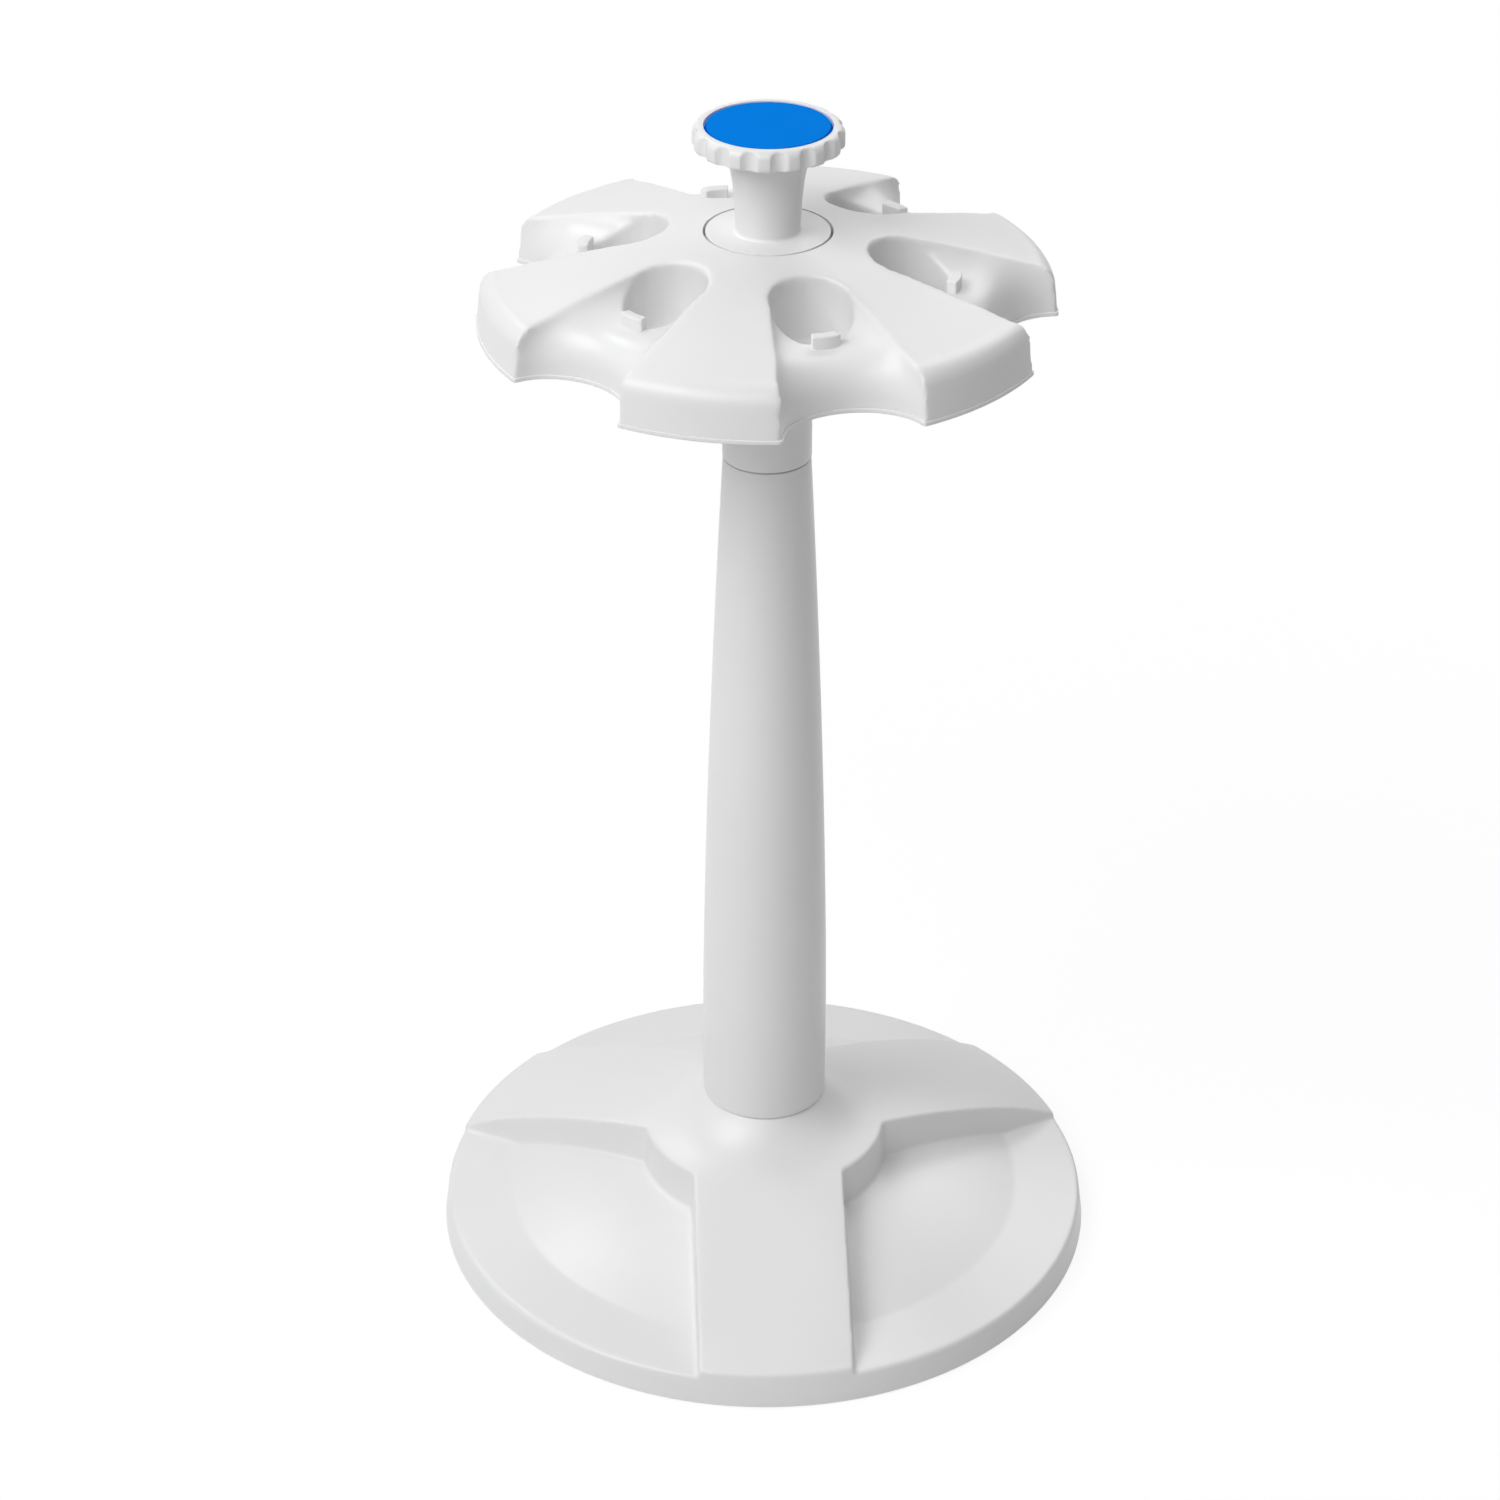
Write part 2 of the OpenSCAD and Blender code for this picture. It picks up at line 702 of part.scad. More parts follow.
// Curved lug on a pocket's lip that a pipette's hook rests behind
module hook_lug() {
    bend_r = pocket_r + lug_t;
    bend_c = lug_ring_r + lug_t / 2 - bend_r;
    intersection() {
        translate([bend_c, 0, z_lip - lug_root]) ring(bend_r, bend_r - lug_t, lug_root + lug_h);
        translate([bend_c, -lug_w / 2, z_lip - lug_root]) cube([bend_r + over, lug_w, lug_root + lug_h]);
    }
}

// Half width of the hollow in an arm of the head, at a distance from the
// axis where the troughs on both sides are half_w from their own middles
function core_half(distance, half_w) =
    let (half_turn = 180 / place_count)
    (distance * sin(half_turn) - half_w - head_wall) / cos(half_turn);

// Hollow of one arm of the head, open below, with a boss for its screw
module arm_core() {
    // the rim's corners stand furthest out, so the hollow ends short of them
    out_r = (head_r - core_rim_wall) * cos(90 / place_count);
    in_half = core_half(core_in_r, (pocket_r + trough_half_in) / 2);
    out_half = core_half(out_r, trough_half_out);
    difference() {
        translate([0, 0, z_shell - over])
            linear_extrude(z_rim_top - core_roof - z_shell + over)
                polygon([[core_in_r, -in_half], [out_r, -out_half], [out_r, out_half], [core_in_r, in_half]]);
        translate([head_screw_ring_r, 0, 0]) cylinder(r = head_boss_r, h = z_top);
    }
}

module carousel_shell() {
    color("whitesmoke") {
        difference() {
            head_body();
            hook_places();
            around(head_arm_angles) arm_core();
            around(head_arm_angles, head_screw_ring_r) cylinder(r = small_screw_r, h = z_shell + head_screw_len);
            translate([0, 0, z_recess]) cylinder(r = disc_r + disc_gap, h = z_top);
            cylinder(r = bush_r, h = z_top);
            cylinder(r = collar_flange_r + seat_fit, h = z_shell + collar_flange_t);
        }
        difference() {
            around(place_angles) hook_lug();
            around(place_angles) pocket();
        }
    }
}

// The scoop of one hook place in the head's plate, which leaves the plate's
// lip standing out past the shell
module plate_scoop() {
    edge = trough_section(
        [skirt_ring_r + head_plate_lip, 0, 0], 0, trough_half_out - head_plate_lip, head_r - skirt_ring_r);
    translate([0, 0, z_head - over])
        linear_extrude(head_plate_t + 2 * over)
            polygon([for (p = edge) [p[0], p[1]]]);
}

module carousel_plate() {
    color("whitesmoke")
        difference() {
            translate([0, 0, z_head]) ring(head_r + head_plate_lip, collar_r + seat_fit, head_plate_t);
            around(place_angles) plate_scoop();
            around(head_arm_angles, head_screw_ring_r) cylinder(r = small_screw_r + seat_fit, h = z_top);
        }
}

module carousel_screws() {
    color("silver")
        around(head_arm_angles, head_screw_ring_r)
            translate([0, 0, z_head]) screw_up(small_screw_r, head_plate_t + head_screw_len, small_head_r, small_head_h);
}

// ---- Handle ----

insert_r = handle_stud_r + insert_wall;
knob_washer_r = knob_screw_head_r + knob_washer_edge;
screw_seat = z_top - cap_t - pass_gap - knob_screw_head_h - knob_washer_t;

module lift_washer() {
    color("ivory")
        translate([0, 0, z_lift_washer]) ring(lift_washer_r, handle_stud_r + pass_gap, lift_washer_t);
}

module handle_stem() {
    flare = curve(
        [stem_r, z_knob - flare_h],
        [stem_r + (flare_r - stem_r) * flare_late, z_knob - flare_h * flare_late * 2],
        [flare_r, z_knob]
    );
    color("whitesmoke")
        difference() {
            rotate_extrude()
                polygon(concat([[0, z_disc], [disc_r, z_disc], [disc_r, z_hub_top], [stem_r, z_hub_top]], flare, [[0, z_knob]]));
            translate([0, 0, z_disc - over]) cylinder(r = insert_r, h = handle_insert_len + over);
            cylinder(r = handle_stud_r + pass_gap, h = z_disc + handle_stud_len);
            cylinder(r = knob_screw_r, h = z_top);
        }
}

module handle_insert() {
    color("goldenrod")
        translate([0, 0, z_disc]) ring(insert_r, handle_stud_r + run_fit, handle_insert_len);
}

module handle_knob() {
    shoulder = arc([knob_r - knob_round, z_top - knob_round], knob_round, 0, 90);
    color("whitesmoke")
        difference() {
            rotate_extrude()
                polygon(concat([[0, z_knob], [knob_r - knob_chamfer, z_knob], [knob_r, z_knob + knob_chamfer]], shoulder, [[0, z_top]]));
            around([for (i = [0:flute_count - 1]) flute_turn + 360 / flute_count * i], knob_r - flute_deep + flute_r)
                translate([0, 0, z_knob - over]) cylinder(r = flute_r, h = knob_h + 2 * over, $fn = 48);
            translate([0, 0, z_top - cap_t]) cylinder(r = cap_r + seat_fit, h = cap_t + over);
            translate([0, 0, screw_seat]) cylinder(r = knob_washer_r + pass_gap, h = knob_h);
            cylinder(r = knob_screw_r + seat_fit, h = z_top);
        }
}

module knob_washer() {
    color("silver")
        translate([0, 0, screw_seat]) ring(knob_washer_r, knob_screw_r + seat_fit, knob_washer_t);
}

module knob_screw() {
    color("silver")
        translate([0, 0, screw_seat + knob_washer_t]) {
            translate([0, 0, -knob_screw_len]) cylinder(r = knob_screw_r, h = knob_screw_len);
            cylinder(r = knob_screw_head_r, h = knob_screw_head_h);
        }
}

module knob_cap() {
    color("dodgerblue")
        translate([0, 0, z_top - cap_t]) cylinder(r = cap_r, h = cap_t);
}

base_cover();
base_plate();
ballast_ring();
rubber_feet();
base_plate_screws();
column();
column_foot_plug();
foot_insert();
column_bolt();
column_bolt_washer();
column_top_plug();
spindle();
lower_thrust_washer();
lower_bush();
upper_bush();
collar();
carousel_shell();
carousel_plate();
carousel_screws();
lift_washer();
handle_stem();
handle_insert();
handle_knob();
knob_screw();
knob_washer();
knob_cap();
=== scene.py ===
import bpy
import bmesh
import json
import math
from mathutils import Matrix, Vector


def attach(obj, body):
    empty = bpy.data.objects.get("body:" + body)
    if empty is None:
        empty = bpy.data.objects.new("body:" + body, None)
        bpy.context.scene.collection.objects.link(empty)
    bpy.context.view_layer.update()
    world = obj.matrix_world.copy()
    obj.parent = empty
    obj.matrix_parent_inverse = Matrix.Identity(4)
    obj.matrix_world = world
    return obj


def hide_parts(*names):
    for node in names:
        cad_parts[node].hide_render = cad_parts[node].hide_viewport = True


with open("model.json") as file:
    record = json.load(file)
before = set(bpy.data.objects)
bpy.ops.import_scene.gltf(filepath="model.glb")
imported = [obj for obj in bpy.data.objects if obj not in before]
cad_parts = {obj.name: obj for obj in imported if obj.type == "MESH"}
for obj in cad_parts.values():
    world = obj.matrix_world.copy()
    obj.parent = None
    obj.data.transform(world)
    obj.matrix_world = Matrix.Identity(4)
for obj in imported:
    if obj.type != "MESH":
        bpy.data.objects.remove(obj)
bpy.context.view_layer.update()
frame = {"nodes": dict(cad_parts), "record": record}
nodes = frame["nodes"]
mm = 0.001
turnSteps = {"shell": 240, "disc": 192, "tube": 160, "bore": 96, "pocket": 72, "foot": 64, "screw": 48}
edgeAngle = 0.9  # radians between two faces, from which their edge is bevelled
mergeGap = 2e-6  # metres, within which two points are one
dressed = []  # the finished pieces, each with its finish
print("frame loaded:", len(nodes), "nodes")


def pointLine(*pairs):
    return [Vector(pair) for pair in pairs]


# lengths are in mm, and are scaled when vertices are made
# a profile from corners (radius, height, fillet), with a short flat kept beside each fillet
def softLine(corners, steps=6, hold=0.12, ring=False):
    line = []
    count = len(corners)
    for i, (r, z, fillet) in enumerate(corners):
        here = Vector((r, z))
        if fillet == 0 or (not ring and i in (0, count - 1)):
            line.append(here)
            continue
        back = Vector(corners[i - 1][:2]) - here
        ahead = Vector(corners[(i + 1) % count][:2]) - here
        back.normalize()
        ahead.normalize()
        half = back.angle(ahead) / 2
        reach = fillet / math.tan(half)
        middle = here + (back + ahead).normalized() * fillet / math.sin(half)
        start, end = here + back * reach, here + ahead * reach
        line.append(start + back * hold)
        first, final = (start - middle).normalized(), (end - middle).normalized()
        for k in range(steps + 1):
            line.append(middle + first.slerp(final, k / steps) * fillet)
        line.append(end + ahead * hold)
    return line


# a bent line from a to c that heads for b
def curveLine(a, b, c, steps=24):
    a, b, c = Vector(a), Vector(b), Vector(c)
    shares = [i / steps for i in range(steps + 1)]
    return [a * (1 - t) ** 2 + b * 2 * t * (1 - t) + c * t * t for t in shares]


def arcLine(middle, radius, fromAngle, toAngle, steps=12):
    line = []
    for i in range(steps + 1):
        a = math.radians(fromAngle + (toAngle - fromAngle) * i / steps)
        line.append(Vector((middle[0] + radius * math.cos(a), middle[1] + radius * math.sin(a))))
    return line


# a profile turned a full circle about an upright axis
def spun(line, steps, ring=False, cent=(0, 0)):
    form = bmesh.new()
    verts = [form.verts.new(((cent[0] + p[0]) * mm, cent[1] * mm, p[1] * mm)) for p in line]
    edges = [form.edges.new(pair) for pair in zip(verts, verts[1:])]
    if ring:
        edges.append(form.edges.new((verts[-1], verts[0])))
    bmesh.ops.spin(form, geom=verts + edges, cent=(cent[0] * mm, cent[1] * mm, 0), axis=(0, 0, 1),
                   angle=math.tau, steps=steps, use_merge=True)
    bmesh.ops.remove_doubles(form, verts=form.verts, dist=mergeGap)
    bmesh.ops.recalc_face_normals(form, faces=form.faces)
    return form


# a plain upright round bar
def roundBar(radius, low, high, steps=turnSteps["bore"], cent=(0, 0)):
    return spun(pointLine((0, low), (radius, low), (radius, high), (0, high)), steps, cent=cent)


# a solid pushed through a row of sections that have the same number of points
def lofted(sections):
    form = bmesh.new()
    face = form.faces.new([form.verts.new(Vector(p) * mm) for p in sections[0]])
    for i, section in enumerate(sections[1:]):
        out = bmesh.ops.extrude_face_region(form, geom=[face])
        if i:
            bmesh.ops.delete(form, geom=[face], context="FACES_ONLY")
        face = next(part for part in out["geom"] if isinstance(part, bmesh.types.BMFace))
        for vert, point in zip(face.verts, section):
            vert.co = Vector(point) * mm
    bmesh.ops.recalc_face_normals(form, faces=form.faces)
    if form.calc_volume(signed=True) < 0:
        bmesh.ops.reverse_faces(form, faces=form.faces)
    return form


def asObject(name, form):
    mesh = bpy.data.meshes.new(name)
    form.to_mesh(mesh)
    form.free()
    piece = bpy.data.objects.new(name, mesh)
    bpy.context.scene.collection.objects.link(piece)
    return piece


def asForm(piece):
    form = bmesh.new()
    form.from_mesh(piece.data)
    return form


def putBack(form, piece):
    form.to_mesh(piece.data)
    form.free()
    return piece


# bakes a piece's modifiers into its mesh
def applied(piece):
    bpy.context.view_layer.update()
    done = piece.evaluated_get(bpy.context.evaluated_depsgraph_get())
    mesh = bpy.data.meshes.new_from_object(done)
    piece.modifiers.clear()
    piece.data = mesh
    return piece


# cuts a piece with a form or an object, or joins or crosses it with one
def carved(piece, cutter, operation="DIFFERENCE"):
    if isinstance(cutter, bmesh.types.BMesh):
        cutter = asObject(piece.name + "Cutter", cutter)
    cut = piece.modifiers.new("Cut", "BOOLEAN")
    cut.operation = operation
    cut.object = cutter
    cut.solver = "MANIFOLD"
    applied(piece)
    bpy.data.objects.remove(cutter)
    return piece


# even skin whose edges are melted to small fillets, then thinned where it is flat
def melted(piece, voxel, passes, kept=1.0):
    skin = piece.modifiers.new("Skin", "REMESH")
    skin.mode = "VOXEL"
    skin.voxel_size = voxel * 1 * mm
    applied(piece)
    form = asForm(piece)
    for _ in range(passes):
        bmesh.ops.smooth_vert(form, verts=form.verts, factor=0.5,
                              use_axis_x=True, use_axis_y=True, use_axis_z=True)
    putBack(form, piece)
    if kept < 1:
        thin = piece.modifiers.new("Thin", "DECIMATE")
        thin.ratio = kept
        applied(piece)
    return piece


def sharpEdges(form, angle):
    return [e for e in form.edges if len(e.link_faces) == 2 and e.calc_face_angle(0) > angle]


def bevelled(form, offset, segments):
    bmesh.ops.bevel(form, geom=sharpEdges(form, edgeAngle), offset=offset * mm, segments=segments,
                    profile=0.5, affect="EDGES", material=-1)
    return form


def smoothShaded(piece, sharp=38):
    form = asForm(piece)
    for face in form.faces:
        face.smooth = True
    for edge in sharpEdges(form, math.radians(sharp)):
        edge.smooth = False
    return putBack(form, piece)


# shifts a form, then turns it about the upright axis
def placed(form, degrees=0, shift=(0, 0, 0)):
    bmesh.ops.translate(form, verts=form.verts, vec=Vector(shift) * mm)
    bmesh.ops.rotate(form, verts=form.verts, cent=(0, 0, 0),
                     matrix=Matrix.Rotation(math.radians(degrees), 3, "Z"))
    return form


# takes off what lies on one side of a plane, and closes the cut
def slicedOff(form, point, normal, inner=False, outer=False):
    plane = bmesh.ops.bisect_plane(form, geom=form.verts[:] + form.edges[:] + form.faces[:],
                                   clear_inner=inner, clear_outer=outer, plane_co=point, plane_no=normal)
    rim = [e for e in plane["geom_cut"] if isinstance(e, bmesh.types.BMEdge)]
    bmesh.ops.contextual_create(form, geom=rim)
    return form


# keeps the part of a form above or below a level
def trimmed(form, level, keepAbove):
    slicedOff(form, (0, 0, level * mm), (0, 0, 1), inner=keepAbove, outer=not keepAbove)
    bmesh.ops.recalc_face_normals(form, faces=form.faces)
    return form


# several forms in one
def gathered(forms):
    whole = bmesh.new()
    for form in forms:
        mesh = bpy.data.meshes.new("part")
        form.to_mesh(mesh)
        form.free()
        whole.from_mesh(mesh)
        bpy.data.meshes.remove(mesh)
    return whole


# smooths a finished piece's shading, hangs it under its body, hides the node that it stands for and lists it
# with its finish
def mounted(piece, body, slotName, node):
    smoothShaded(piece)
    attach(piece, body)
    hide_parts(node)
    dressed.append((piece, slotName))
    print(piece.name, "done:", len(piece.data.polygons), "faces")


cameraView = {"place": (0, -0.91864, 0.70135), "turn": (59.3067, -0.1048, 0.3343), "lens": 92.49, "sensor": 36,
              "clip": (0.01, 50)}
camera = bpy.data.objects.new("Camera", bpy.data.cameras.new("Camera"))
camera.location = cameraView["place"]
camera.rotation_euler = [math.radians(a) for a in cameraView["turn"]]
camera.data.sensor_width = cameraView["sensor"]
camera.data.lens = cameraView["lens"]
camera.data.clip_start, camera.data.clip_end = cameraView["clip"]
bpy.context.scene.collection.objects.link(camera)
bpy.context.scene.camera = camera
print("camera done")


# below: how far the raw solid reaches under the level at which it is cut off
baseCover = {
    "radius": 94.3, "underside": 0.5, "armRim": 11.0, "bandRim": 9.0, "lean": 1.2, "rimRound": 1.3, "below": 2,
    "shoulder": (35.0, 31.6), "crown": 2.6, "recess": 18.6, "crease": (74.4, 10.0), "domeFall": 1.3,
    "seat": 42.7, "seatEdge": 17.1, "flareHold": 0.34, "coneTop": 47,
    "arms": 3, "armTurn": 2.4, "armHalf": (21.4, 21.4), "wallSlope": 1.5, "armBlock": (50, 22, 100, 50),
    "voxel": 0.55, "passes": 3, "kept": 0.38,
    "socket": 9.1, "socketDepth": 27.1, "socketTop": 45, "boltWell": 11.0, "wellTop": 10.1,
    "boltHole": 4.1, "boltHoleTop": 30, "plateRoom": (90.5, 2.6),
}


# the rim's outer edge at a given height, up its lean and over its fillet
def rimArc(height):
    b = baseCover
    rise = b["armRim"] - b["rimRound"] - b["underside"]
    lean = math.atan(b["lean"] / rise)
    middle = (b["radius"] - (height - b["rimRound"] - b["underside"]) * math.tan(lean)
              - b["rimRound"] / math.cos(lean), height - b["rimRound"])
    return arcLine(middle, b["rimRound"], math.degrees(lean), 90)


# an arm's side wall: its offset from the middle line, its taper outwards and its lean
def armWallPlane():
    b = baseCover
    slope = math.tan(math.radians(b["wallSlope"]))
    (r0, z0), r1, z1 = b["shoulder"], b["radius"] - b["lean"] - b["rimRound"], b["armRim"]
    halfIn, halfOut = b["armHalf"]
    taper = (halfOut - halfIn - slope * (z0 - z1)) / (r1 - r0)
    return halfIn - taper * r0 + slope * z0, taper, slope


# the flat band by the rim, its crease and the low dome inside it
def recessLine():
    b = baseCover
    shoulderR, creaseR = b["shoulder"][0], b["crease"][0]
    middle = ((shoulderR + creaseR) / 2, b["recess"] - b["domeFall"])
    return rimArc(b["bandRim"]) + curveLine(b["crease"], middle, (shoulderR, b["recess"]))


# the arms' top line: a crowned fall from the shoulder, and the sweep up to the column
def armLine():
    b = baseCover
    rim = rimArc(b["armRim"])
    end = rim[-1]
    shoulderR, shoulderH = b["shoulder"]
    seatEdge = b["seatEdge"]
    crown = (shoulderR + (end.x - shoulderR) * 2 / 3, shoulderH + (end.y - shoulderH) * 2 / 3 + 2 * b["crown"])
    slope = (shoulderH - crown[1]) / (crown[0] - shoulderR)
    middle = seatEdge + (shoulderR - seatEdge) * b["flareHold"]
    sweep = curveLine((shoulderR, shoulderH), (middle, shoulderH + slope * (shoulderR - middle)),
                      (seatEdge, b["seat"]))
    return rim + curveLine(end, crown, (shoulderR, shoulderH))[1:] + sweep[1:]


def armBlocks():
    b = baseCover
    out, up, size, tall = b["armBlock"]
    start, taper, slope = armWallPlane()
    blocks = []
    for k in range(b["arms"]):
        form = bmesh.new()
        bmesh.ops.create_cube(form, size=1, matrix=Matrix.Translation(Vector((out, 0, up)) * mm)
                              @ Matrix.Diagonal((size * mm, size * mm, tall * mm, 1)))
        for side in (1, -1):
            slicedOff(form, Vector((0, side * start, 0)) * mm, (-taper, side, slope), outer=True)
        bmesh.ops.recalc_face_normals(form, faces=form.faces)
        blocks.append(placed(form, b["armTurn"] - 90 + 360 / b["arms"] * k))
    return blocks


def makeBaseCover():
    b = baseCover
    low = b["underside"] - b["below"]
    leanFoot = b["below"] * b["lean"] / (b["armRim"] - b["rimRound"] - b["underside"])
    foot = Vector((b["radius"] + leanFoot, low))
    shoulderR, shoulderH = b["shoulder"]
    topLine = [Vector((0, low)), foot] + armLine() + [Vector((0, b["seat"]))]
    cover = asObject("baseCover", spun(topLine, turnSteps["shell"]))

    blocks = armBlocks()
    slope = armWallPlane()[2]
    coneLow = shoulderR + (shoulderH - low) * slope
    coneHigh = shoulderR + (shoulderH - b["coneTop"]) * slope
    cone = pointLine((0, low - 1), (coneLow, low - 1), (coneHigh, b["coneTop"]), (0, b["coneTop"]))
    stem = asObject("stem", spun(cone, turnSteps["shell"]))
    for block in blocks:
        carved(stem, block, "UNION")
    carved(cover, stem, "INTERSECT")
    band = [Vector((0, low)), foot] + recessLine() + [Vector((0, b["recess"]))]
    carved(cover, spun(band, turnSteps["shell"]), "UNION")
    print("base cover solid:", len(cover.data.polygons))

    melted(cover, b["voxel"], b["passes"], b["kept"])
    putBack(trimmed(asForm(cover), b["underside"], True), cover)
    print("base cover skin:", len(cover.data.polygons))

    under = b["underside"]
    plateR, plateT = b["plateRoom"]
    bars = ((plateR, under - 1, under + plateT), (b["boltWell"], under, b["wellTop"]),
            (b["boltHole"], 0, b["boltHoleTop"]), (b["socket"], b["seat"] - b["socketDepth"], b["socketTop"]))
    for bar in bars:
        carved(cover, roundBar(*bar))
    mounted(cover, "stand", "white_abs", "base_cover")


makeBaseCover()


# below: how far the raw solids reach past the levels at which they are cut off
head = {
    "under": 288.1, "rim": 301.0, "hub": 311.3, "radius": 75.4, "round": 5.6, "rimTurn": 78, "draft": 0.8,
    "domeShare": 0.8, "below": 3, "disc": 16.3, "discGap": 0.55, "discEdge": 0.12, "discTop": 5,
    "turn": -73.2, "places": 6, "lip": (47.5, 300.4), "pocket": (37.3, 10.5, 291.4, 330),
    "troughHalf": (13.2, 15.3, 18.6), "fall": 6.0, "roll": 8.0, "skirt": 60.4, "skirtFoot": 284, "mouth": 28.0,
    "lug": (49.2, 7.8, 3.0, 3.1), "lugSunk": 4, "lugRound": 0.45,
    "voxel": 0.68, "passes": 5, "recess": 308.1, "bore": 9.06, "seat": (19.1, 290.5), "cut": (280, 320),
    "plate": 287.0, "plateLip": 0.3, "plateVoxel": 0.6, "plateEdge": 0.16, "plateBore": 12.0,
    "plateCut": (280, 292),
}


# the sections of a hook place, from the pocket over the lip and round the roll to the skirt
def troughSections(proud=0.0):
    h = head
    fall = math.radians(h["fall"])
    lipR, lipZ = h["lip"]
    pocketR, pocketHalf = h["pocket"][:2]
    skirt, roll = h["skirt"] + proud, h["roll"]
    middle = (skirt - roll, lipZ - (skirt - roll - lipR) * math.tan(fall) - roll)
    depthIn = h["hub"] - (h["hub"] - h["rim"]) / 2 - lipZ
    depthOut = h["radius"] - h["skirt"]
    halfIn, halfMid, halfOut = (half - proud for half in h["troughHalf"])
    across, rollSteps = 36, 24

    def section(x, z, upAngle, half, depth):
        up = Vector((math.cos(upAngle), 0, math.sin(upAngle)))
        axis = Vector((x, 0, z)) + up * depth
        points = [axis - Vector((0, half, 0)) + up * h["mouth"]]
        for i in range(across + 1):
            a = math.pi * i / across
            points.append(axis - Vector((0, half * math.cos(a), 0)) - up * depth * math.sin(a))
        points.append(axis + Vector((0, half, 0)) + up * h["mouth"])
        return points

    rows = [section(pocketR, lipZ + (lipR - pocketR) * math.tan(fall), math.pi / 2, pocketHalf, depthIn),
            section(lipR, lipZ, math.pi / 2 - fall / 2, halfIn, depthIn)]
    for i in range(rollSteps + 1):
        t = i / rollSteps
        a = (math.pi / 2 - fall) * (1 - t)
        rows.append(section(middle[0] + roll * math.cos(a), middle[1] + roll * math.sin(a), a,
                            halfMid + (halfOut - halfMid) * t, depthIn + (depthOut - depthIn) * t * t))
    rows.append(section(skirt, h["skirtFoot"], 0, halfOut, depthOut))
    return rows


def placeAngles(offset=0):
    return [head["turn"] + offset + 360 / head["places"] * k for k in range(head["places"])]


def headLugs():
    h = head
    ring, width, thick, rise = h["lug"]
    bend = h["pocket"][1] + thick
    centre = ring + thick / 2 - bend
    reach = math.asin(width / 2 / bend)
    foot, top = h["lip"][1] - h["lugSunk"], h["lip"][1] + rise
    lugs = []
    for turn in placeAngles():
        form = bmesh.new()
        corners = [(bend - thick, foot), (bend, foot), (bend, top), (bend - thick, top)]
        face = form.faces.new([form.verts.new((x * mm, 0, z * mm)) for x, z in corners])
        bmesh.ops.rotate(form, verts=form.verts, cent=(0, 0, 0), matrix=Matrix.Rotation(-reach, 3, "Z"))
        bmesh.ops.spin(form, geom=[face], cent=(0, 0, 0), axis=(0, 0, 1), angle=2 * reach, steps=8)
        bmesh.ops.remove_doubles(form, verts=form.verts, dist=mergeGap)
        bmesh.ops.recalc_face_normals(form, faces=form.faces)
        lugs.append(placed(bevelled(form, h["lugRound"], 3), turn, (centre, 0, 0)))
    return lugs


def makeHead():
    h = head
    low = h["under"] - h["below"]
    lean = math.atan(h["draft"] / (h["rim"] - h["round"] - h["under"]))
    domeR = h["radius"] - h["draft"] - h["round"] / math.cos(lean)
    domeMiddle = (h["radius"] / 2, h["rim"] + (h["hub"] - h["rim"]) * h["domeShare"])
    dome = curveLine((domeR, h["rim"]), domeMiddle, (h["disc"], h["hub"]), 36)
    rim = arcLine((domeR, h["rim"] - h["round"]), h["round"], math.degrees(lean), h["rimTurn"])
    foot = h["radius"] + (h["under"] - low) * math.tan(lean)
    line = pointLine((0, low), (foot, low)) + rim + dome + [Vector((0, h["hub"]))]
    shell = asObject("carouselShell", spun(line, turnSteps["shell"]))
    rows = troughSections()
    pocketR, pocketHalf, pocketFloor, pocketTop = h["pocket"]
    for turn in placeAngles():
        carved(shell, placed(lofted(rows), turn))
        pocket = roundBar(pocketHalf, pocketFloor, pocketTop, turnSteps["pocket"], (pocketR, 0))
        carved(shell, placed(pocket, turn))
    print("head solid:", len(shell.data.polygons))

    melted(shell, h["voxel"], h["passes"])
    putBack(trimmed(asForm(shell), h["under"], True), shell)
    print("head skin:", len(shell.data.polygons))

    recess, soft, over = h["disc"] + h["discGap"], h["discEdge"], h["hub"] + h["discTop"]
    edge = arcLine((recess + soft, h["hub"] - soft), soft, 180, 90, 4)
    hollow = pointLine((0, h["recess"]), (recess, h["recess"])) + edge
    hollow += pointLine((recess + soft, over), (0, over))
    carved(shell, spun(hollow, turnSteps["disc"]))
    cutLow, cutHigh = h["cut"]
    carved(shell, roundBar(h["bore"], cutLow, cutHigh))
    carved(shell, roundBar(h["seat"][0], cutLow, h["seat"][1]))
    for lug in headLugs():
        carved(shell, lug, "UNION")
    mounted(shell, "carousel", "white_abs", "carousel_shell")


# cut from a thicker slab, so that its outline is melted but its faces stay flat
def makeHeadPlate():
    h = head
    slab = (h["radius"] + h["plateLip"], h["plate"] - h["below"], h["under"] + h["below"])
    plate = asObject("carouselPlate", roundBar(*slab, turnSteps["shell"]))
    rows = troughSections(h["plateLip"])
    for turn in placeAngles():
        carved(plate, placed(lofted(rows), turn))
    melted(plate, h["plateVoxel"], h["passes"])
    form = trimmed(trimmed(asForm(plate), h["plate"], True), h["under"], False)
    putBack(bevelled(form, h["plateEdge"], 2), plate)
    carved(plate, roundBar(h["plateBore"], *h["plateCut"]))
    mounted(plate, "carousel", "white_abs", "carousel_plate")


makeHead()
makeHeadPlate()


column = {
    "foot": 42.7, "top": 247.0, "footR": 17.7, "topR": 11.8, "straight": 26.0, "bend": 1.55, "wall": 2.8,
    "footRound": 0.6, "topEdge": (0.1, 0.35), "steps": 40,
}


